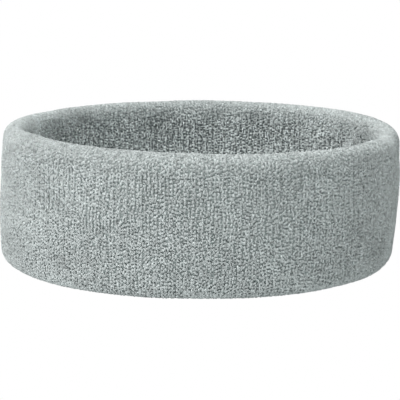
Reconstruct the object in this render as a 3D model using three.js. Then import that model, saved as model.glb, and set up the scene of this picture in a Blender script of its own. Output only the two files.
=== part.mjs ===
// A sports headband: one tube of terry, knitted to twice the band's height with its loops outwards, folded
// over on itself at the top and bottom edges, and closed by an overlocked seam low on the inside. Elastic
// threads are laid in as the tube is knitted, so they wind through both layers from one raw edge to the
// other.
//
// Millimetres, +Z up. The front of the band faces -Y and its right side +X. The origin is the middle of the
// ring, in the plane that the bottom fold rests on.

import * as THREE from "three";

// Driving dimensions
const outerRadius = 85; // tips of the outer loops at the top edge
const bandHeight = 56.7;
const wallThickness = 9.5; // two layers of terry and the hollow between them
const pileHeight = 2.9; // loops, from their tips down to the ground fabric
const groundThickness = 0.6;
const clearance = 0.2; // between the loops and the fabric that they are knitted into
const elasticDiameter = 0.5;
const elasticThreads = 4; // one for each feeder of the knitting machine
const elasticTurns = 3; // that each thread makes on its way between the raw edges
const seamHeight = 15; // middle of the seam above the plane that the band rests on
const sewingThreadDiameter = 0.3;
const stitchLength = 3;

// The ring is soft, so it never stands perfectly round. Each amplitude is a largest departure in millimetres.
const ovality = 0.6; // deeper from front to back than it is wide
const squareness = 0.25; // flatter at the front, back and sides
const sway = 1.94; // the top stands this much further to the right than the bottom
const swayPivot = 0.55; // share of the height that the sway turns about
const taper = 0.56; // the bottom edge is tighter than the top
const belly = 1.37; // the wall's middle stands out past its edges
const tiltToLeft = 0.61; // the top edge is higher on the left
const tiltToFront = 0.68; // and at the front
const warp = 0.51; // and at the front left and back right corners

// Fineness of the faceted solids
const ringSteps = 48;
const wallStep = 12; // longest facet up a wall
const tipFoldSteps = 7; // facets round a fold, an odd number so that the lowest one lies flat
const innerFoldSteps = 5;

// Sizes that follow from the driving dimensions
const foldRadius = wallThickness / 2;
const coreRadius = outerRadius - foldRadius; // ring radius of the middle of the wall
const foldCentre = foldRadius * Math.cos(Math.PI / 2 / tipFoldSteps); // puts the lowest facet at height zero
const groundFront = pileHeight + clearance;
const groundBack = groundFront + groundThickness;
const elasticDepth = groundBack + clearance + elasticDiameter / 2;
const seamOpening = 1.5; // half of the slit in the loops that the seam stands in
const rawEdgeGap = 0.1; // half of the gap between the two raw edges
const rawEdgeRoot = rawEdgeGap + groundThickness; // outer side of a raw edge where it leaves the wall
const rawEdgeTip = rawEdgeGap + 0.15; // the stitches squeeze the edge down to this
const rawEdgeDepth = 0.3; // the raw edges end just short of the loops' tips

// Places of the sewing threads in the seam: depth below the inner loop tips, and height off its middle
const needleDepth = 2.75;
const needleHeight = 1;
const needleHoleHeight = 0.9;
const looperRootDepth = 2.3;
const looperRootHeight = 1.1;
const looperEdgeDepth = -0.5; // past the raw edges, so that the loops close over them
const looperEdgeHeight = 0.3;

// ---------------------------------------------------------------------------------------------------------
// Shape of the ring

// Moves a point of the perfect ring to its place on the soft one.
function soften(point) {
  const angle = Math.atan2(point.y, point.x);
  const share = point.z / bandHeight;
  const plan = -ovality * Math.cos(2 * angle) - squareness * Math.cos(4 * angle);
  const lean = sway * Math.cos(angle) * (share - swayPivot) - taper * (1 - share);
  const barrel = belly * 4 * share * (1 - share);
  const radius = Math.hypot(point.x, point.y) + plan + lean + barrel;
  const rise = -tiltToLeft * Math.cos(angle) - tiltToFront * Math.sin(angle) + warp * Math.sin(2 * angle);
  return point.set(radius * Math.cos(angle), radius * Math.sin(angle), point.z + share * rise);
}

// The wall's outline in cross-section at a depth below the loop tips, x being the ring radius and y the
// height. It runs from the seam's lower side down the inner face, round the bottom fold, up the outer face,
// round the top fold and back down to the seam's upper side.
function outlinePath(depth, seamHalfWidth) {
  const foldInset = foldRadius - depth;
  const innerFace = coreRadius - foldInset;
  const bottomFold = new THREE.ArcCurve(coreRadius, foldCentre, foldInset, Math.PI, 2 * Math.PI);
  const topFold = new THREE.ArcCurve(coreRadius, bandHeight - foldCentre, foldInset, 0, Math.PI);
  const lowerSide = new THREE.Vector2(innerFace, seamHeight - seamHalfWidth);
  const upperSide = new THREE.Vector2(innerFace, seamHeight + seamHalfWidth);
  const path = new THREE.CurvePath();
  path.add(new THREE.LineCurve(lowerSide, bottomFold.getPoint(0)));
  path.add(bottomFold);
  path.add(new THREE.LineCurve(bottomFold.getPoint(1), topFold.getPoint(0)));
  path.add(topFold);
  path.add(new THREE.LineCurve(topFold.getPoint(1), upperSide));
  return path;
}

function outline(depth, seamHalfWidth, foldSteps) {
  const { curves } = outlinePath(depth, seamHalfWidth);
  return curves.flatMap((curve, index) => {
    const steps = curve.isLineCurve ? Math.ceil(curve.getLength() / wallStep) : foldSteps;
    return curve.getPoints(steps).slice(index === 0 ? 0 : 1);
  });
}

// A point of the seam's cross-section, from its depth below the inner loop tips and its height off the seam.
function seamPoint(depth, offset) {
  return new THREE.Vector2(outerRadius - wallThickness + depth, seamHeight + offset);
}

// ---------------------------------------------------------------------------------------------------------
// Builders

function namedMesh(name, geometry, color, roughness) {
  const mesh = new THREE.Mesh(geometry, new THREE.MeshStandardMaterial({ color, roughness, metalness: 0 }));
  mesh.name = name;
  return mesh;
}

// A layer of fabric: a closed cross-section turned once round the ring.
function turnedLayer(profile) {
  const geometry = new THREE.LatheGeometry([...profile, profile[0]], ringSteps).rotateX(Math.PI / 2);
  const position = geometry.attributes.position;
  const point = new THREE.Vector3();
  for (let i = 0; i < position.count; i += 1) {
    soften(point.fromBufferAttribute(position, i));
    position.setXYZ(i, point.x, point.y, point.z);
  }
  geometry.computeVertexNormals();
  return geometry;
}

// A thread's path round the ring. sectionAt gives its place in the cross-section at each share of its length.
class ThreadPath extends THREE.Curve {
  constructor(startAngle, sweep, sectionAt) {
    super();
    Object.assign(this, { startAngle, sweep, sectionAt });
  }

  getPoint(share, target = new THREE.Vector3()) {
    const angle = this.startAngle + this.sweep * share;
    const section = this.sectionAt(share);
    return soften(target.set(section.x * Math.cos(angle), section.x * Math.sin(angle), section.y));
  }

  // Even steps of angle, so that a thread keeps its distance from the facets of the fabric beside it.
  getUtoTmapping(share) {
    return share;
  }
}

function threadGeometry(path, diameter, steps) {
  const corners = 3;
  const section = new THREE.Shape(
    Array.from({ length: corners }, (_, corner) => {
      const turn = (2 * Math.PI * corner) / corners;
      return new THREE.Vector2(Math.cos(turn), Math.sin(turn)).multiplyScalar(diameter / 2);
    }),
  );
  return new THREE.ExtrudeGeometry(section, { extrudePath: path, steps });
}

// ---------------------------------------------------------------------------------------------------------
// The terry tube

function terryPile() {
  const tips = outline(0, seamOpening, tipFoldSteps);
  const roots = outline(pileHeight, seamOpening, innerFoldSteps);
  return namedMesh("terry_pile", turnedLayer([...tips, ...roots.reverse()]), 0xa9b1b1, 0.95);
}

// The fabric under the loops. Its two raw edges turn out through the slit, side by side, for the seam.
function groundKnit() {
  const front = outline(groundFront, rawEdgeRoot, innerFoldSteps);
  const back = outline(groundBack, rawEdgeGap, innerFoldSteps);
  const upperEdge = [seamPoint(rawEdgeDepth, rawEdgeTip), seamPoint(rawEdgeDepth, rawEdgeGap)];
  const lowerEdge = [seamPoint(rawEdgeDepth, -rawEdgeGap), seamPoint(rawEdgeDepth, -rawEdgeTip)];
  const profile = [...front, ...upperEdge, ...back.reverse(), ...lowerEdge];
  return namedMesh("ground_knit", turnedLayer(profile), 0x8f9898, 0.85);
}

// ---------------------------------------------------------------------------------------------------------
// Threads

// The elastic threads start a quarter turn apart and wind side by side through the hollow.
function elasticThread(index) {
  const hollow = outlinePath(elasticDepth, seamOpening);
  const sweep = 2 * Math.PI * elasticTurns;
  const startAngle = (2 * Math.PI * index) / elasticThreads;
  const path = new ThreadPath(startAngle, sweep, (share) => hollow.getPoint(share));
  const geometry = threadGeometry(path, elasticDiameter, ringSteps * elasticTurns);
  return namedMesh(`elastic_thread_${index + 1}`, geometry, 0xdedacb, 0.6);
}

// A sewing thread goes once round the seam and stops just short of where it began. Once a stitch it swings
// from one place in the cross-section to another and back.
function seamThread(name, from, to, phase) {
  const seamRadius = outerRadius - wallThickness;
  const wholeStitches = Math.round((2 * Math.PI * seamRadius) / stitchLength);
  const stitches = wholeStitches - 0.5; // the tails stay half a stitch apart
  const sweep = (2 * Math.PI * stitches) / wholeStitches;
  const path = new ThreadPath(0, sweep, (share) => {
    const swing = (1 - Math.cos(2 * Math.PI * (share * stitches + phase))) / 2;
    return from.clone().lerp(to, swing);
  });
  return namedMesh(name, threadGeometry(path, sewingThreadDiameter, 2 * stitches), 0xb4bcbc, 0.7);
}

// The needle thread lies along the top of the raw edges and sinks into them at each needle hole.
function needleThread() {
  const top = seamPoint(needleDepth, needleHeight);
  const hole = seamPoint(needleDepth, needleHoleHeight);
  return seamThread("seam_needle_thread", top, hole, 0);
}

// A looper thread crosses from the needle line over the raw edges and back. The upper one keeps to their top
// and the lower one to their underside, half a stitch apart.
function looperThread(name, side, phase) {
  const root = seamPoint(looperRootDepth, side * looperRootHeight);
  const edge = seamPoint(looperEdgeDepth, side * looperEdgeHeight);
  return seamThread(name, root, edge, phase);
}

// ---------------------------------------------------------------------------------------------------------
// Assembly

const headband = new THREE.Group();
headband.add(terryPile(), groundKnit());
for (let index = 0; index < elasticThreads; index += 1) {
  headband.add(elasticThread(index));
}
headband.add(needleThread());
headband.add(looperThread("seam_upper_looper_thread", 1, 0));
headband.add(looperThread("seam_lower_looper_thread", -1, 0.5));

export default headband;
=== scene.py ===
# The looks of the terry headband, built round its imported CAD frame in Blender 4.5. Metres, +Z up, front
# towards -Y.
#
# The wall of the band is read from the frame as one smooth closed surface, and a cloth simulation then lets
# it swell and settle a little. Everything else is placed on it, by the angle round the ring, the distance
# along the wall's section from the seam, and the depth below the tips of the loops. The pile is made of
# single yarn loops, each one a closed tube rooted in the mass of yarn above the ground fabric.

import math
from types import SimpleNamespace

import bpy
import numpy as np
from mathutils import Matrix, Vector
from mathutils.bvhtree import BVHTree


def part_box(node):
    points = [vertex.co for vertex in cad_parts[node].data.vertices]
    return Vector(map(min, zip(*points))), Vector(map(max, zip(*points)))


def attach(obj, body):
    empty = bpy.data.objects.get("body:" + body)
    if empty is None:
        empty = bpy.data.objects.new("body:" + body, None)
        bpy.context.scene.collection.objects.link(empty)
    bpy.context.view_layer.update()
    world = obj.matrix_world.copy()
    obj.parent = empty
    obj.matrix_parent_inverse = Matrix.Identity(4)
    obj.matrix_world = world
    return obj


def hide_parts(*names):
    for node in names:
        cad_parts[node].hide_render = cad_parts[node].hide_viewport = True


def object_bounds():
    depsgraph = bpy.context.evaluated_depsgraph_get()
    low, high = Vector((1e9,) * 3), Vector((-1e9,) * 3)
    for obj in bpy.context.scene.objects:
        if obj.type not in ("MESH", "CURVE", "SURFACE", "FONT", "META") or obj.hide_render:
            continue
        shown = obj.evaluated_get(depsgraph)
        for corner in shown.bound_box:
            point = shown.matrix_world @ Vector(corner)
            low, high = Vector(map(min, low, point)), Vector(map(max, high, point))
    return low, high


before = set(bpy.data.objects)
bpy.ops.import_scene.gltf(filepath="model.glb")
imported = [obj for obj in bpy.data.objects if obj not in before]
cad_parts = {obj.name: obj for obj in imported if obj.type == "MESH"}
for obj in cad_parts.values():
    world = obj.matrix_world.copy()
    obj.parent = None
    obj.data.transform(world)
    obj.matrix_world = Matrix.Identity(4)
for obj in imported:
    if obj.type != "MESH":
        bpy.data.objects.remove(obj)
CAD_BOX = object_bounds()
MM = 0.001
TURN = 2 * math.pi

# The fabric, with the same sizes as the CAD model
PILE_HEIGHT = 2.9 * MM  # loops, from their tips down to the ground fabric
GROUND_THICKNESS = 0.6 * MM
CLEARANCE = 0.2 * MM
GROUND_FRONT = PILE_HEIGHT + CLEARANCE  # depths below the loop tips
GROUND_BACK = GROUND_FRONT + GROUND_THICKNESS
ELASTIC_RADIUS = 0.25 * MM
ELASTIC_DEPTH = GROUND_BACK + CLEARANCE + ELASTIC_RADIUS
ELASTIC_THREADS = 4
ELASTIC_TURNS = 3
SEAM_OPENING = 1.5 * MM  # half of the slit in the pile that the seam stands in
STITCH_LENGTH = 3 * MM
SEWING_RADIUS = 0.15 * MM

# The stitches
WALE_PITCH = 1.5 * MM  # between columns of stitches, round the ring
COURSE_PITCH = 1.36 * MM  # between rows of stitches, along the section
TIPS_PROUD = 0.3 * MM  # the highest tips stand this far past the CAD surface
PILE_EDGE = 1.35 * MM  # the pile starts this far from the middle of the seam, and leans over the slit
PILE_PIECES = 20  # the pile is split into equal arcs, so that no mesh is too heavy to handle
LOOP_SIDES = 5

# Sampling of the wall
RING_FACETS = 48  # of the CAD ring, whose section is exact at these angles
RING_STEPS = 720
SECTION_STEPS = 256
RING_HARMONICS = 8  # kept when the facets are smoothed away
SECTION_HARMONICS = 34

rng = np.random.default_rng(7)


# ---------------------------------------------------------------------------------------------------------
# Surface of the wall


def unit(vectors):
    """The vectors' directions, each with a length of 1."""
    return vectors / np.linalg.norm(vectors, axis=-1, keepdims=True)


def fourier_resample(values, count, keep):
    """Periodic values along axis 0 resampled to count places, with only the lowest keep harmonics left."""
    spectrum = np.fft.rfft(values, axis=0)
    smooth = np.zeros((count // 2 + 1, *values.shape[1:]), complex)
    smooth[:keep] = spectrum[:keep]
    return np.fft.irfft(smooth, n=count, axis=0) * (count / len(values))


def resample_grid(values, rows, columns, row_harmonics, column_harmonics):
    """A periodic grid of values resampled both ways, without its finest changes."""
    tall = fourier_resample(values, rows, row_harmonics)
    return fourier_resample(tall.swapaxes(0, 1), columns, column_harmonics).swapaxes(0, 1)


def grid_faces(rows, columns):
    """Quads over a grid that is closed both ways, facing out where rows run round the ring."""
    i, j = np.meshgrid(np.arange(rows), np.arange(columns), indexing="ij")
    i2, j2 = (i + 1) % rows, (j + 1) % columns
    corners = [i * columns + j, i2 * columns + j, i2 * columns + j2, i * columns + j2]
    return np.stack(corners, axis=-1).reshape(-1, 4)


def slow_noise(rows, columns, row_cells, column_cells):
    """Random values with a standard deviation near 0.7 that change smoothly over a periodic grid."""
    knots = rng.standard_normal((row_cells, column_cells))
    row = np.arange(rows) / rows * row_cells
    column = np.arange(columns) / columns * column_cells
    r0, c0 = np.floor(row).astype(int), np.floor(column).astype(int)
    r1, c1 = (r0 + 1) % row_cells, (c0 + 1) % column_cells
    fr, fc = (row - r0)[:, None], (column - c0)[None]
    fr, fc = fr * fr * (3 - 2 * fr), fc * fc * (3 - 2 * fc)
    near = knots[r0][:, c0] * (1 - fr) + knots[r1][:, c0] * fr
    far = knots[r0][:, c1] * (1 - fr) + knots[r1][:, c1] * fr
    return near * (1 - fc) + far * fc


def even_spacing(outline, count):
    """Points at even distances along a closed outline, and its length."""
    steps = np.hypot(*np.diff(outline, axis=0).T)
    along = np.concatenate([[0], np.cumsum(steps)])
    places = np.linspace(0, along[-1], count, endpoint=False)
    return np.stack([np.interp(places, along, outline[:, k]) for k in (0, 1)], axis=1), along[-1]


def read_section(tree, angle, seam_height, top):
    """The loop tips' outline at one angle, as (radius, height) points from the seam round to the seam."""
    cos, sin = math.cos(angle), math.sin(angle)
    reach = 20 * MM  # every ray starts this far from the middle of the wall, outside it
    beside = SEAM_OPENING + 0.3 * MM  # the closest to the seam that rays meet the tips and not the slit
    below_seam, fold_rays, outer_rays, above_seam = 8, 16, 30, 24  # how many rays

    def tip(radius, height, out, up):
        """Where a ray aimed at a place within the wall, from a direction in the section, meets the tips."""
        start = Vector(((radius + out * reach) * cos, (radius + out * reach) * sin, height + up * reach))
        hit = tree.ray_cast(start, Vector((-out * cos, -out * sin, -up)))[0]
        return np.array([math.hypot(hit.x, hit.y), hit.z])

    middle = top / 2
    rough_radius = CAD_BOX[1].x  # no ray aimed here from outside can miss the wall
    outer = tip(rough_radius, middle, 1, 0)[0]
    inner_hit = tree.ray_cast(Vector((0, 0, middle)), Vector((cos, sin, 0)))[0]
    inner = math.hypot(inner_hit.x, inner_hit.y)
    core, fold = (outer + inner) / 2, (outer - inner) / 2
    low, high = fold, top - fold
    half_turn = np.linspace(0, math.pi, fold_rays, endpoint=False)
    down = np.linspace(seam_height - beside, low, below_seam, endpoint=False)
    points = [tip(core, z, -1, 0) for z in down]
    points += [tip(core, low, -math.cos(a), -math.sin(a)) for a in half_turn]
    points += [tip(core, z, 1, 0) for z in np.linspace(low, high, outer_rays, endpoint=False)]
    points += [tip(core, high, math.cos(a), math.sin(a)) for a in half_turn]
    points += [tip(core, z, -1, 0) for z in np.linspace(high, seam_height + beside, above_seam)]
    seam = (points[0] + points[-1]) / 2
    return np.array([seam, *points, seam])


class Wall:
    """The surface of the loops' tips, as a grid of points round the ring and along the section."""

    def __init__(self):
        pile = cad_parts["terry_pile"].data
        tree = BVHTree.FromPolygons([v.co for v in pile.vertices], [p.vertices for p in pile.polygons])
        tops = np.zeros(RING_FACETS)
        for vertex in pile.vertices:
            facet = round(math.atan2(vertex.co.y, vertex.co.x) / TURN * RING_FACETS) % RING_FACETS
            tops[facet] = max(tops[facet], vertex.co.z)
        seam_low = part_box("seam_lower_looper_thread")[0].z
        seam_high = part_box("seam_upper_looper_thread")[1].z
        seam_share = (seam_low + seam_high) / 2 / tops.mean()
        sections, lengths = [], []
        for facet, top in enumerate(tops):
            outline = read_section(tree, facet / RING_FACETS * TURN, seam_share * top, top)
            section, length = even_spacing(outline, 2 * SECTION_STEPS)
            sections.append(section)
            lengths.append(length)
        self.length = float(np.mean(lengths))
        shape = (RING_STEPS, SECTION_STEPS, RING_HARMONICS, SECTION_HARMONICS)
        radius, height = np.moveaxis(resample_grid(np.array(sections), *shape), -1, 0)
        theta = np.arange(RING_STEPS)[:, None] * TURN / RING_STEPS
        self.set_points(np.stack([radius * np.cos(theta), radius * np.sin(theta), height], axis=-1))

    def set_points(self, points):
        """Takes new points and works out their directions along the section, round the ring and outwards."""
        along = np.roll(points, -1, axis=1) - np.roll(points, 1, axis=1)
        around = np.roll(points, -1, axis=0) - np.roll(points, 1, axis=0)
        self.points = points
        self.along = unit(along)
        self.around = unit(around - self.along * np.sum(around * self.along, axis=-1, keepdims=True))
        self.normals = np.cross(self.around, self.along)

    def sample(self, field, angle, share):
        """A field of the grid at an angle round the ring and a share of the way along the section."""
        row = np.mod(angle / TURN, 1) * RING_STEPS
        column = np.mod(share, 1) * SECTION_STEPS
        r0, c0 = np.floor(row).astype(int), np.floor(column).astype(int)
        fr, fc = (row - r0)[..., None], (column - c0)[..., None]
        r0, c0 = r0 % RING_STEPS, c0 % SECTION_STEPS
        r1, c1 = (r0 + 1) % RING_STEPS, (c0 + 1) % SECTION_STEPS
        near = field[r0, c0] * (1 - fr) + field[r1, c0] * fr
        far = field[r0, c1] * (1 - fr) + field[r1, c1] * fr
        return near * (1 - fc) + far * fc

    def at(self, angle, distance, depth):
        """The point at an angle, at a distance along the section from the seam and a depth below the tips."""
        angle, distance, depth = np.broadcast_arrays(angle, distance, depth)
        share = distance / self.length
        tip = self.sample(self.points, angle, share)
        return tip - self.sample(self.normals, angle, share) * depth[..., None]


# ---------------------------------------------------------------------------------------------------------
# Mesh building


def make_mesh(name, points, face_sets, corner_uvs=None, attributes=()):
    """A smooth-shaded mesh object from arrays of faces, each array holding faces of one size."""
    sizes = np.concatenate([np.full(len(faces), faces.shape[1]) for faces in face_sets])
    corners = np.concatenate([faces.ravel() for faces in face_sets])
    mesh = bpy.data.meshes.new(name)
    mesh.vertices.add(len(points))
    mesh.vertices.foreach_set("co", np.ascontiguousarray(points, np.float32).ravel())
    mesh.loops.add(len(corners))
    mesh.loops.foreach_set("vertex_index", corners.astype(np.int32))
    mesh.polygons.add(len(sizes))
    mesh.polygons.foreach_set("loop_start", np.concatenate([[0], np.cumsum(sizes)[:-1]]).astype(np.int32))
    mesh.update(calc_edges=True)
    mesh.shade_smooth()
    if corner_uvs is not None:
        layer = mesh.uv_layers.new(name="OFBake")
        layer.uv.foreach_set("vector", np.ascontiguousarray(corner_uvs, np.float32).ravel())
    for label, values in attributes:
        attribute = mesh.attributes.new(label, "FLOAT", "POINT")
        attribute.data.foreach_set("value", np.ascontiguousarray(values, np.float32).ravel())
    piece = bpy.data.objects.new(name, mesh)
    bpy.context.scene.collection.objects.link(piece)
    return piece


def tube_points(centres, reference, radii, sides):
    """Rings of points round centre lines of shape (tubes, rings, 3), with a reference direction off each."""
    forward = unit(np.gradient(centres, axis=1))
    side = unit(np.cross(forward, reference))
    out = np.cross(forward, side)
    turn = (TURN * np.arange(sides) / sides)[:, None]
    ring = side[:, :, None] * np.cos(turn) + out[:, :, None] * np.sin(turn)
    return (centres[:, :, None] + ring * radii[..., None, None]).reshape(-1, 3)


def tube_faces(tubes, rings, sides):
    """The walls and the two end caps of closed tubes, facing out."""
    first = (np.arange(tubes) * rings * sides)[:, None, None]
    k = np.arange(sides)
    k2 = (k + 1) % sides
    ring = (np.arange(rings - 1) * sides)[:, None]
    walls = np.stack([ring + k, ring + k2, ring + sides + k2, ring + sides + k], axis=-1).reshape(-1, 4)
    caps = np.stack([k[::-1], (rings - 1) * sides + k])
    return [(first + walls).reshape(-1, 4), (first + caps).reshape(-1, sides)]


CELL_MARGIN = 0.05  # of a cell of the atlas
CAP_CELL = 0.02  # an end cap takes this much of its tube's cell


def tube_uvs(tubes, rings, sides, columns, strips=1):
    """Corners in an atlas of cells, round the tube across a cell and along it up the cell. A long tube is cut
    into strips, each with a cell of its own."""
    rows = math.ceil(tubes * strips / columns)
    step = np.arange(rings - 1)
    strip = step * strips // (rings - 1)
    low = step * strips / (rings - 1) - strip
    high = low + strips / (rings - 1)
    k = np.arange(sides) / sides
    corner_u = np.stack([k, k + 1 / sides, k + 1 / sides, k], axis=-1)[None] + 0 * step[:, None, None]
    corner_v = np.stack([low, low, high, high], axis=-1)[:, None] + 0 * corner_u
    turn = TURN * np.arange(sides) / sides
    cap_u, cap_v = 0.5 + CAP_CELL * np.cos(turn), 0.5 + CAP_CELL * np.sin(turn)
    tube = np.arange(tubes)[:, None]

    def in_cell(cell, u, v):
        across = (cell % columns + CELL_MARGIN + (1 - 2 * CELL_MARGIN) * u) / columns
        up = (cell // columns + CELL_MARGIN + (1 - 2 * CELL_MARGIN) * v) / rows
        return np.stack([across, up], axis=-1).reshape(-1, 2)

    wall_cell = (tube * strips + strip)[..., None, None]
    cap_cell = (tube * strips + [0, strips - 1])[..., None]
    return np.concatenate([in_cell(wall_cell, corner_u, corner_v), in_cell(cap_cell, cap_u, cap_v)])





def swept_shell(name, distance, depth, steps, attributes=()):
    """A closed outline of places in the wall's section, swept round the ring."""
    theta = np.arange(steps)[:, None] * TURN / steps
    points = wall.at(theta, distance, depth)
    faces = grid_faces(steps, len(distance))
    row, column = np.divmod(faces, len(distance))
    row[:, 1:3][row[:, 1:3] == 0] = steps
    column[:, 2:][column[:, 2:] == 0] = len(distance)
    uvs = np.stack([column / len(distance), row / steps], axis=-1)
    return make_mesh(name, points.reshape(-1, 3), [faces], uvs, attributes)


def thread(name, centres, reference, radius, sides, strips):
    """A round thread with closed ends along a line of points."""
    rings = len(centres)
    points = tube_points(centres[None], reference[None], np.full((1, rings), radius), sides)
    return make_mesh(name, points, tube_faces(1, rings, sides), tube_uvs(1, rings, sides, strips, strips))


# ---------------------------------------------------------------------------------------------------------
# Cloth


def settle(wall):
    """Lets the surface swell under light pressure while the seam holds it, and moves the wall with it.

    The CAD section already has the swollen shape, so the mean move round the ring is taken off again. What
    stays is the soft unevenness of real fabric."""
    ring_stride, section_stride, frames = 6, 4, 20
    rings, columns = RING_STEPS // ring_stride, SECTION_STEPS // section_stride
    pressure = 4
    start_bumps = 0.3 * MM
    bumps_around, bumps_along = 24, 9
    largest_move = 0.8 * MM
    ring_harmonics, section_harmonics = 30, 14
    coarse = wall.points[::ring_stride, ::section_stride]
    normals = wall.normals[::ring_stride, ::section_stride]
    uneven = start_bumps * slow_noise(rings, columns, bumps_around, bumps_along)
    start = coarse + normals * uneven[..., None]
    sheet = make_mesh("settling", start.reshape(-1, 3), [grid_faces(rings, columns)])
    held = sheet.vertex_groups.new(name="seam")
    held.add([ring * columns for ring in range(rings)], 1.0, "ADD")
    cloth = sheet.modifiers.new("cloth", "CLOTH")
    cloth.settings.use_pressure = True
    cloth.settings.uniform_pressure_force = pressure
    cloth.settings.vertex_group_mass = "seam"
    cloth.settings.effector_weights.gravity = 0
    cloth.point_cache.frame_end = frames
    scene = bpy.context.scene
    for number in range(1, frames + 1):
        scene.frame_set(number)
    swollen = sheet.evaluated_get(bpy.context.evaluated_depsgraph_get()).data
    moved = np.empty(rings * columns * 3, np.float32)
    swollen.vertices.foreach_get("co", moved)
    shift = np.sum((moved.reshape(coarse.shape) - coarse) * normals, axis=-1)
    shift = (shift - shift.mean(axis=0)).clip(-largest_move, largest_move)
    smooth = resample_grid(shift, RING_STEPS, SECTION_STEPS, ring_harmonics, section_harmonics)
    scene.frame_set(1)
    bpy.data.objects.remove(sheet)
    wall.set_points(wall.points + wall.normals * smooth[..., None])


wall = Wall()
settle(wall)


# ---------------------------------------------------------------------------------------------------------
# Terry loops

LONGEST_RING = TURN * wall.points[..., 0].max()
WALES = round(LONGEST_RING / WALE_PITCH / PILE_PIECES) * PILE_PIECES
PILE_LENGTH = wall.length - 2 * PILE_EDGE
COURSES = int(PILE_LENGTH / COURSE_PITCH)
PIECE_STITCHES = WALES // PILE_PIECES * COURSES
PILE_CELLS = math.ceil(math.sqrt(2 * PIECE_STITCHES))  # of a piece's atlas, each way, with two loops a stitch

# A loop from root to root
LOOP_ALONG = np.array([-0.5, -1.0, -0.55, 0.55, 1.0, 0.5])  # share of its half length, off its middle
LOOP_RISE = np.array([0.0, 0.7, 1.0, 1.0, 0.7, 0.0])  # share of its height
ROOT_RADIUS = 0.85  # of the yarn's radius at the loop's top

# Loops that run up the wales and touch end to end, and lower ones that bridge the gaps between the wales
RIDGE = SimpleNamespace(
    offset=0,  # from one wale (0) to the next (1)
    heading=90,  # degrees, from round the ring (0) to up the wale (90)
    heading_spread=12,
    half_length=0.78 * MM,
    yarn_radius=0.39 * MM,
    swell=0.08,  # part of the yarn is this much thicker
    sink=0,  # of the tips, below the highest ones
    sink_spread=0.16 * MM,
    pair_sink=0,  # more or less sink, by turns from wale to wale
    pair_shift=0.04,  # of a wale to one side or the other, by turns
)
BRIDGE = SimpleNamespace(
    offset=0.5,
    heading=0,
    heading_spread=18,
    half_length=0.42 * MM,
    yarn_radius=0.32 * MM,
    swell=0.7,
    sink=0.05 * MM,
    sink_spread=0.08 * MM,
    pair_sink=0.04 * MM,
    pair_shift=0,
)

# How stitches and loops stray. Slow changes run over so many cells round the ring and along the section.
WANDER = 0.12  # of a wale to the side, slowly
WANDER_CELLS = (60, 24)
SIDE_SPREAD = 0.08  # from stitch to stitch
COURSE_SPREAD = 0.14
COURSE_DRIFT = 0.45  # along a wale, slowly and on its own
DRIFT_CELLS = 16
SWIRL = 0.7  # weight of slow changes beside those from loop to loop
SWIRL_CELLS = (60, 20)
PAIRING = 0.7  # weight of the turns from wale to wale, in which yarn is swollen
SWELL_ABOVE = -0.3  # yarn is swollen where its random value is above this
BLOTCH_CELLS = (36, 12)

# How the pile differs between the inner face, the outer face and the crest of the top fold
FULLNESS = (0.82, 1.05, 1.25)  # thickness of the yarn
UNEVENNESS = (3.8, 1.0, 0.8)  # spread of the tips' depths
# painted light and shade: the tips' colour is lighter on the inner face and darker on the crest, for how the
# light falls there
PAINTED_TIP_LIGHT = (1.15, 0.99, 0.89)  # of the loops' tips
# painted shade: the yarn's colour darkens down towards the bed, where less light gets
PAINTED_DEPTH_SHADE = (0.5, 0.1, 0.28)  # how much darker the yarn looks at the bed
BED_DEPTH = (1.3 * MM, 0.95 * MM, 0.6 * MM)  # where the legs are packed into one felted mass
# painted shade and light of the bed, darkest on the inner face
PAINTED_BED_LIGHT = (1.0, 1.9, 1.7)  # lightness of the bed
LEAN = 0.08 * MM  # how far a tip strays from over its roots
BEND = 0.12 * MM  # how far a loop's middle bends to one side
ROOT_DEPTH = 0.5 * MM  # of a loop, down into the bed
DEEPEST_TIP = 1 * MM
LENGTH_SPREAD = 0.15
LENGTH_LIMITS = (0.5, 1.6)
RADIUS_SPREAD = 0.1
RADIUS_LIMITS = (0.6, 1.4)
LIGHT_SPREAD = 0.11  # from loop to loop
BLOTCHES = 0.05  # slow changes of the yarn's lightness

# Distances along the section between which the pile changes from one of them to the next
UPWARD = wall.normals[..., 2].mean(axis=0)
BOTTOM = wall.length * np.argmin(UPWARD) / SECTION_STEPS
CREST = wall.length * np.argmax(UPWARD) / SECTION_STEPS
CHANGES = (BOTTOM - 9 * MM, BOTTOM + MM, CREST - 11 * MM, CREST - 5 * MM, CREST + 4 * MM, CREST + 13 * MM)


def by_place(values, share):
    """Values at shares of the section's length, from those of the inner face, outer face and crest."""
    inner, outer, crest = values
    return np.interp(share * wall.length, CHANGES, (inner, outer, outer, crest, crest, inner))


def by_turns(wale):
    """1 and -1 by turns, from wale to wale."""
    return wale % 2 * 2 - 1


def spread():
    """A random value for each stitch, with a standard deviation of 1."""
    return rng.standard_normal(WALES * COURSES)


def swirl():
    """A random value for each stitch that changes slowly over the fabric."""
    return slow_noise(WALES, COURSES, *SWIRL_CELLS).ravel()


def stitch_places(kind):
    """The angle and the share of the section of every stitch, wale by wale. Each wale has its own rhythm."""
    wale, course = np.meshgrid(np.arange(WALES), np.arange(COURSES), indexing="ij")
    aside = WANDER * slow_noise(WALES, COURSES, *WANDER_CELLS)
    aside += SIDE_SPREAD * rng.standard_normal(wale.shape)
    phase = rng.uniform(-0.5, 0.5, (WALES, 1)) + COURSE_SPREAD * rng.standard_normal(wale.shape)
    phase += COURSE_DRIFT * slow_noise(WALES, COURSES, WALES, DRIFT_CELLS)
    from_end = 0.1  # of a course, at the least
    place = (course + 0.5 + phase).clip(from_end, COURSES - from_end) / COURSES
    angle = (wale + kind.offset + aside - kind.pair_shift * by_turns(wale)) / WALES * TURN
    return angle.ravel(), ((PILE_EDGE + place * PILE_LENGTH) / wall.length).ravel()


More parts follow.
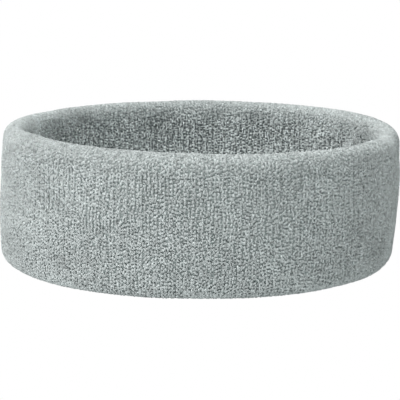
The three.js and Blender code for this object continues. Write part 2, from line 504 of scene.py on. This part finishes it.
def loop_yarn(kind, share):
    """Which way every loop lies, its half length, the radius of its yarn and how deep its tip is sunk."""
    pair = by_turns(np.repeat(np.arange(WALES), COURSES))
    turn = np.radians(kind.heading + kind.heading_spread * (spread() + SWIRL * swirl()))
    half = kind.half_length * (1 + LENGTH_SPREAD * spread()).clip(*LENGTH_LIMITS)
    radius = kind.yarn_radius * by_place(FULLNESS, share)
    radius *= (1 + RADIUS_SPREAD * spread()).clip(*RADIUS_LIMITS)
    radius *= 1 + kind.swell * (spread() + SWIRL * swirl() - PAIRING * pair > SWELL_ABOVE)
    uneven = np.abs(kind.sink_spread * spread()) + kind.pair_sink * pair
    tip = (kind.sink + by_place(UNEVENNESS, share) * uneven).clip(0, DEEPEST_TIP)
    return turn[:, None], half[:, None], radius[:, None], tip[:, None]


def loop_set(kind, blotches):
    """The centre lines, outward directions, radii and lightness of one loop for each stitch. The lightness
    holds painted shade towards the bed and painted light by place, with the yarn's random tone.
    """
    angle, share = stitch_places(kind)
    normal = unit(wall.sample(wall.normals, angle, share))
    along = unit(wall.sample(wall.along, angle, share))
    around = np.cross(along, normal)
    bed = by_place(BED_DEPTH, share)[:, None]
    turn, half, radius, tip = loop_yarn(kind, share)
    reach = half * LOOP_ALONG
    bend = BEND * spread()[:, None] * LOOP_RISE
    across = LEAN * (spread() + swirl())[:, None] * LOOP_RISE
    up = LEAN * (spread() + swirl())[:, None] * LOOP_RISE
    across += np.cos(turn) * reach - np.sin(turn) * bend
    up += np.sin(turn) * reach + np.cos(turn) * bend
    skin = tip * LOOP_RISE + (bed + ROOT_DEPTH) * (1 - LOOP_RISE)
    depth = skin - TIPS_PROUD + radius * LOOP_RISE
    centres = wall.sample(wall.points, angle, share)[:, None] - normal[:, None] * depth[..., None]
    centres += around[:, None] * across[..., None] + along[:, None] * up[..., None]
    # painted shade towards the bed, painted light by place, and the yarn's random tone and slow blotches
    painted_shade = by_place(PAINTED_DEPTH_SHADE, share)[:, None] * (skin / bed).clip(0, 1)
    tone_and_painted_light = by_place(PAINTED_TIP_LIGHT, share) * (1 + LIGHT_SPREAD * spread() + BLOTCHES * blotches)
    light = (1 - painted_shade) * tone_and_painted_light[:, None]
    return centres, normal[:, None], radius * (ROOT_RADIUS + (1 - ROOT_RADIUS) * LOOP_RISE), light


def terry_loops():
    """The loops of both kinds, as one piece for each of the equal arcs."""
    blotches = slow_noise(WALES, COURSES, *BLOTCH_CELLS).ravel()
    ridges = loop_set(RIDGE, blotches)
    bridges = loop_set(BRIDGE, blotches)
    rings = len(LOOP_RISE)
    faces = tube_faces(2 * PIECE_STITCHES, rings, LOOP_SIDES)
    uvs = tube_uvs(2 * PIECE_STITCHES, rings, LOOP_SIDES, PILE_CELLS)
    pieces = []
    for index in range(PILE_PIECES):
        part = slice(index * PIECE_STITCHES, (index + 1) * PIECE_STITCHES)
        both = [np.concatenate([ridge[part], bridge[part]]) for ridge, bridge in zip(ridges, bridges)]
        centres, normal, radii, light = both
        points = tube_points(centres, normal, radii, LOOP_SIDES)
        # the light attribute holds the painted shade and light, with the yarn's random tone
        attributes = [("light", np.repeat(light.ravel(), LOOP_SIDES))]
        pieces.append(make_mesh(f"terry_loops_{index + 1:02d}", points, faces, uvs, attributes))
    return pieces


SHELL_STEPS = 360  # of the bed and the ground fabric, round the ring


def pile_bed():
    """The felted mass of yarn that the loops stand in."""
    front, back = 160, 80
    out = np.linspace(PILE_EDGE, wall.length - PILE_EDGE, front)
    distance = np.concatenate([out, np.linspace(wall.length - PILE_EDGE, PILE_EDGE, back)])
    share = distance / wall.length
    on_front = np.arange(front + back) < front
    depth = np.where(on_front, by_place(BED_DEPTH, share) - TIPS_PROUD, PILE_HEIGHT)
    # painted shade and light of the bed by place; the back of the bed keeps 1
    light = np.where(on_front, by_place(PAINTED_BED_LIGHT, share), 1)
    return swept_shell("terry_bed", distance, depth, SHELL_STEPS, [("light", np.tile(light, SHELL_STEPS))])


def ground_fabric():
    """The fabric under the loops, one closed shell whose raw edges stand out side by side in the seam."""
    gap, edge, edge_depth = 0.1 * MM, 0.25 * MM, 0.3 * MM
    front, back = 120, 80
    run = np.linspace(gap + GROUND_THICKNESS, wall.length - gap - GROUND_THICKNESS, front)
    run_back = np.linspace(wall.length - gap, gap, back)
    distance = np.concatenate([run, [wall.length - edge, wall.length - gap], run_back, [gap, edge]])
    raw_edge = [edge_depth, edge_depth]
    depth = np.concatenate([np.full(front, GROUND_FRONT), raw_edge, np.full(back, GROUND_BACK), raw_edge])
    return swept_shell("ground_fabric", distance, depth, SHELL_STEPS)


# ---------------------------------------------------------------------------------------------------------
# Threads

THREAD_STRIPS = 24  # of a thread's atlas
SEAM_RADIUS = np.hypot(wall.points[:, 0, 0], wall.points[:, 0, 1]).mean()
STITCHES = round(TURN * SEAM_RADIUS / STITCH_LENGTH)
STITCH_STEPS = 14  # straight steps of a sewing thread in each stitch
ELASTIC_STEPS = 40  # straight steps of an elastic thread in each strip of its atlas
ELASTIC_SIDES = 8
SEWING_SIDES = 6


def elastic_thread(index):
    """One of the elastic threads that wind side by side through the hollow, from raw edge to raw edge."""
    steps = ELASTIC_STEPS * THREAD_STRIPS
    share = np.linspace(0, 1, steps + 1)
    angle = TURN * (index / ELASTIC_THREADS + ELASTIC_TURNS * share)
    distance = SEAM_OPENING + share * (wall.length - 2 * SEAM_OPENING)
    centres = wall.at(angle, distance, ELASTIC_DEPTH)
    normals = wall.sample(wall.normals, angle, distance / wall.length)
    return thread(f"elastic_{index + 1}", centres, normals, ELASTIC_RADIUS, ELASTIC_SIDES, THREAD_STRIPS)


def seam_thread(name, start, end, phase):
    """A thread of the seam. Once a stitch it swings between two (depth, height) places beside the seam."""
    steps = math.ceil(STITCH_STEPS * STITCHES / THREAD_STRIPS) * THREAD_STRIPS
    share = np.linspace(0, 1 - 0.5 / STITCHES, steps + 1)
    swing = (1 - np.cos(TURN * (share * STITCHES + phase))) / 2
    depth = start[0] + (end[0] - start[0]) * swing
    height = start[1] + (end[1] - start[1]) * swing
    centres = wall.at(TURN * share, -height, depth)
    normals = wall.sample(wall.normals, TURN * share, -height / wall.length)
    return thread(name, centres, normals, SEWING_RADIUS, SEWING_SIDES, THREAD_STRIPS)


def seam_threads():
    """The needle thread, and the two looper threads that cross over the raw edges half a stitch apart."""
    hole, top = (2.75 * MM, 0.9 * MM), (2.75 * MM, 1.0 * MM)
    root_depth, root_height = 2.3 * MM, 1.1 * MM
    edge_depth, edge_height = -0.5 * MM, 0.3 * MM
    threads = {"seam_needle_thread": seam_thread("needle_thread", top, hole, 0)}
    for name, side, phase in (("upper_looper_thread", 1, 0), ("lower_looper_thread", -1, 0.5)):
        root = (root_depth, side * root_height)
        edge = (edge_depth, side * edge_height)
        threads[f"seam_{name}"] = seam_thread(name, root, edge, phase)
    return threads


# ---------------------------------------------------------------------------------------------------------
# Materials

# Colours
YARN = (0.57, 0.63, 0.626)
# the yarn darkened as painted shade, for the bed deep in the pile
SHADED_DEEP_YARN = (0.225, 0.26, 0.255)
GROUND_YARN = (0.24, 0.265, 0.265)
ELASTIC_COVER = (0.72, 0.69, 0.6)
POLYESTER = (0.5, 0.54, 0.54)
PAPER = (0.7, 0.7, 0.7)
ROOM = (0.9, 1, 1, 1)
WHITE = (1, 1, 1, 1)

NOISE_RANGE = (0.3, 0.7)  # most values of a noise lie between these


class Nodes:
    """Short ways to add nodes to a node tree. A value passed to a node is a number or a socket."""

    def __init__(self, tree):
        self.tree = tree

    def add(self, kind):
        return self.tree.nodes.new("ShaderNode" + kind)

    def plug(self, value, socket):
        if isinstance(value, bpy.types.NodeSocket):
            self.tree.links.new(value, socket)
        else:
            socket.default_value = value

    def math(self, operation, *values):
        made = self.add("Math")
        made.operation = operation
        for value, socket in zip(values, made.inputs):
            self.plug(value, socket)
        return made.outputs[0]

    def remap(self, value, old_range, new_range):
        """A value moved from one range to another, and kept within it."""
        made = self.add("MapRange")
        for number, socket in zip((value, *old_range, *new_range), made.inputs):
            self.plug(number, socket)
        return made.outputs[0]

    def place(self, kind):
        """A texture coordinate, such as the place on the object."""
        return self.add("TexCoord").outputs[kind]

    def parts(self, vector):
        """The X, Y and Z of a vector."""
        split = self.add("SeparateXYZ")
        self.plug(vector, split.inputs[0])
        return list(split.outputs)

    def noise(self, size, detail=2):
        """Values between 0 and 1 that change over about one size, in metres."""
        made = self.add("TexNoise")
        made.inputs["Scale"].default_value = 1 / size
        made.inputs["Detail"].default_value = detail
        self.plug(self.place("Object"), made.inputs["Vector"])
        return made.outputs[0]

    def wave(self, phase):
        """A wave between 0 and 1 with one crest for each whole number of phase."""
        angle = self.math("MULTIPLY", phase, TURN)
        return self.math("MULTIPLY_ADD", self.math("COSINE", angle), 0.5, 0.5)

    def show_camera(self, seen, unseen, output):
        """Shows the camera one shader, while another one gives the light."""
        path = self.add("LightPath")
        mix = self.add("MixShader")
        self.plug(path.outputs["Is Camera Ray"], mix.inputs[0])
        self.plug(unseen.outputs[0], mix.inputs[1])
        self.plug(seen.outputs[0], mix.inputs[2])
        self.plug(mix.outputs[0], self.tree.nodes[output].inputs["Surface"])


class Finish(Nodes):
    """A material and its surface shader."""

    def __init__(self, name, roughness, specular):
        self.material = bpy.data.materials.new(name)
        self.material.use_nodes = True
        super().__init__(self.material.node_tree)
        self.shader = self.tree.nodes["Principled BSDF"]
        self.shader.inputs["Roughness"].default_value = roughness
        self.shader.inputs["Specular IOR Level"].default_value = specular

    def attribute(self, name):
        made = self.add("Attribute")
        made.attribute_name = name
        return made.outputs["Fac"]

    def uv(self):
        """The two UV coordinates."""
        layer = self.add("UVMap")
        layer.uv_map = "OFBake"
        return self.parts(layer.outputs[0])[:2]

    def twist(self, columns, rows, turns, plies):
        """The strands of a yarn that winds this many turns along each cell of its atlas."""
        u, v = self.uv()
        used = 1 - 2 * CELL_MARGIN
        across = self.math("DIVIDE", self.math("FRACT", self.math("MULTIPLY", u, columns)), used)
        along = self.math("DIVIDE", self.math("FRACT", self.math("MULTIPLY", v, rows)), used)
        winding = self.math("MULTIPLY_ADD", along, turns, across)
        return self.wave(self.math("MULTIPLY", winding, plies))

    def colour(self, base, *factors):
        """Sets the base colour, scaled by the product of the factors."""
        product = 1.0
        for factor in factors:
            product = self.math("MULTIPLY", product, factor)
        scaled = self.add("VectorMath")
        scaled.operation = "SCALE"
        scaled.inputs[0].default_value = base
        self.plug(product, scaled.inputs["Scale"])
        self.plug(scaled.outputs[0], self.shader.inputs["Base Color"])

    def bump(self, height, distance):
        made = self.add("Bump")
        made.inputs["Strength"].default_value = 1
        made.inputs["Distance"].default_value = distance
        self.plug(height, made.inputs["Height"])
        self.plug(made.outputs[0], self.shader.inputs["Normal"])


def pile_yarn():
    """Soft three-ply cotton yarn, with shade painted into its colour down between the loops and in the
    grooves of its plies.
    """
    finish = Finish("pile_yarn", roughness=0.95, specular=0.05)
    fibres = finish.noise(0.25 * MM)
    strands = finish.twist(PILE_CELLS, PILE_CELLS, turns=1.5, plies=3)
    fuzz = finish.remap(fibres, NOISE_RANGE, (0.94, 1.06))
    # painted shade in the grooves between the plies
    groove_shade = finish.remap(strands, (0, 1), (0.84, 1.04))
    finish.colour(YARN, finish.attribute("light"), fuzz, groove_shade)
    finish.bump(finish.math("ADD", strands, fibres), 0.08 * MM)
    return finish.material


def bed_yarn():
    """The same yarn deep in the pile, painted darker as shade, since little light gets there."""
    finish = Finish("bed_yarn", roughness=0.95, specular=0.15)
    fibres = finish.noise(0.4 * MM, detail=3)
    finish.colour(SHADED_DEEP_YARN, finish.attribute("light"), finish.remap(fibres, NOISE_RANGE, (0.75, 1.25)))
    finish.bump(fibres, 0.3 * MM)
    return finish.material


def ground_yarn():
    """Plain knitted fabric, with a stitch for each loop and painted shade between the stitches."""
    finish = Finish("ground_yarn", roughness=0.9, specular=0.2)
    along, around = finish.uv()
    wales = finish.wave(finish.math("MULTIPLY", around, WALES))
    courses = finish.wave(finish.math("MULTIPLY", along, 2 * COURSES))
    stitches = finish.math("MULTIPLY", wales, courses)
    # painted shade between the stitches
    depth = finish.remap(stitches, (0, 1), (0.75, 1.15))
    fuzz = finish.remap(finish.noise(0.3 * MM), NOISE_RANGE, (0.9, 1.1))
    finish.colour(GROUND_YARN, depth, fuzz)
    finish.bump(stitches, 0.2 * MM)
    return finish.material


def elastic_cover():
    """Rubber thread wound with fine pale yarn."""
    finish = Finish("elastic_cover", roughness=0.6, specular=0.3)
    wraps = finish.twist(THREAD_STRIPS, 1, turns=100, plies=1)
    # painted shade in the grooves between the wraps
    finish.colour(ELASTIC_COVER, finish.remap(wraps, (0, 1), (0.7, 1)))
    finish.bump(wraps, 0.08 * MM)
    return finish.material


def sewing_thread():
    """Three-ply polyester with a slight shine."""
    finish = Finish("sewing_thread", roughness=0.55, specular=0.4)
    strands = finish.twist(THREAD_STRIPS, 1, turns=10, plies=3)
    # painted shade in the grooves between the plies
    finish.colour(POLYESTER, finish.remap(strands, (0, 1), (0.7, 1.05)))
    finish.bump(strands, 0.05 * MM)
    return finish.material


# ---------------------------------------------------------------------------------------------------------
# Assembly


def dress(piece, material, node):
    """Gives a piece its finish and puts it in the place of its CAD node."""
    piece.data.materials.append(material)
    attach(piece, "root")
    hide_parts(node)


def assemble():
    yarn = pile_yarn()
    for piece in terry_loops():
        dress(piece, yarn, "terry_pile")
    dress(pile_bed(), bed_yarn(), "terry_pile")
    dress(ground_fabric(), ground_yarn(), "ground_knit")
    cover = elastic_cover()
    for index in range(ELASTIC_THREADS):
        dress(elastic_thread(index), cover, f"elastic_thread_{index + 1}")
    polyester = sewing_thread()
    for node, piece in seam_threads().items():
        dress(piece, polyester, node)


assemble()


# ---------------------------------------------------------------------------------------------------------
# Stage


def floor():
    """A pale sheet that glows softly, more on the left of the band. The camera sees it plain white."""
    half = 3.0
    fade = (-0.3, 0.3)  # the sheet changes from left to right between these
    glow = (0.52, 0.26)
    shade = (1.15, 0.55)
    corners = np.array([(-half, -half, 0), (half, -half, 0), (half, half, 0), (-half, half, 0)])
    sheet = make_mesh("floor", corners, [np.array([[0, 1, 2, 3]])])
    finish = Finish("floor_paper", roughness=0.8, specular=0.2)
    across = finish.parts(finish.place("Object"))[0]
    finish.shader.inputs["Emission Color"].default_value = WHITE
    finish.plug(finish.remap(across, fade, glow), finish.shader.inputs["Emission Strength"])
    grain = finish.remap(finish.noise(0.2), (0, 1), (0.99, 1.01))
    finish.colour(PAPER, grain, finish.remap(across, fade, shade))
    finish.show_camera(finish.add("Emission"), finish.shader, "Material Output")
    sheet.data.materials.append(finish.material)


def camera():
    """A long lens in front of the band, looking a little down on it."""
    elevation, roll = math.radians(10.623), math.radians(0.456)
    distance = 0.8185
    aim = Vector((0, 0, 28.37 * MM))
    data = bpy.data.cameras.new("camera")
    data.lens, data.sensor_width = 170.8, 36
    data.shift_x, data.shift_y = 0.0009, -0.0245
    data.clip_end = 20
    eye = bpy.data.objects.new("camera", data)
    bpy.context.scene.collection.objects.link(eye)
    back = Vector((0, -math.cos(elevation), math.sin(elevation)))
    eye.location = aim + back * distance
    level = (-back).to_track_quat("-Z", "Y").to_matrix().to_4x4()
    eye.rotation_euler = (Matrix.Rotation(roll, 4, back) @ level).to_euler()
    bpy.context.scene.camera = eye


def softbox(name, place, size, power, colour):
    """A square area lamp aimed at the band."""
    band = Vector((0, 0, 0.03))
    data = bpy.data.lights.new(name, "AREA")
    data.energy, data.size, data.color = power, size, colour
    lamp = bpy.data.objects.new(name, data)
    bpy.context.scene.collection.objects.link(lamp)
    lamp.location = place
    lamp.rotation_euler = (band - Vector(place)).to_track_quat("-Z", "Y").to_euler()


def surroundings(strength, slope, sides):
    """A room, lighter along the slope and darker to both sides. The camera sees it plain white."""
    world = bpy.data.worlds.new("studio")
    world.use_nodes = True
    nodes = Nodes(world.node_tree)
    directions = nodes.parts(nodes.place("Generated"))
    level = strength
    for direction, share in zip(directions, slope):
        level = nodes.math("MULTIPLY_ADD", direction, strength * share, level)
    sideways = nodes.math("MULTIPLY", directions[0], directions[0])
    level = nodes.math("MULTIPLY_ADD", sideways, -strength * sides, level)
    room = world.node_tree.nodes["Background"]
    room.inputs["Color"].default_value = ROOM
    nodes.plug(level, room.inputs["Strength"])
    seen = nodes.add("Background")
    seen.inputs["Color"].default_value = WHITE
    nodes.show_camera(seen, room, "World Output")
    bpy.context.scene.world = world
    bpy.context.scene.view_settings.view_transform = "Standard"


floor()
camera()
softbox("key", place=(-1.35, -0.62, 1.05), size=1.2, power=15.5, colour=(1, 0.93, 0.93))
softbox("top", place=(0, -0.3, 1.3), size=1.0, power=19.0, colour=(1, 0.965, 0.96))
surroundings(strength=0.15, slope=(-0.1, -0.3, 0.9), sides=0.95)
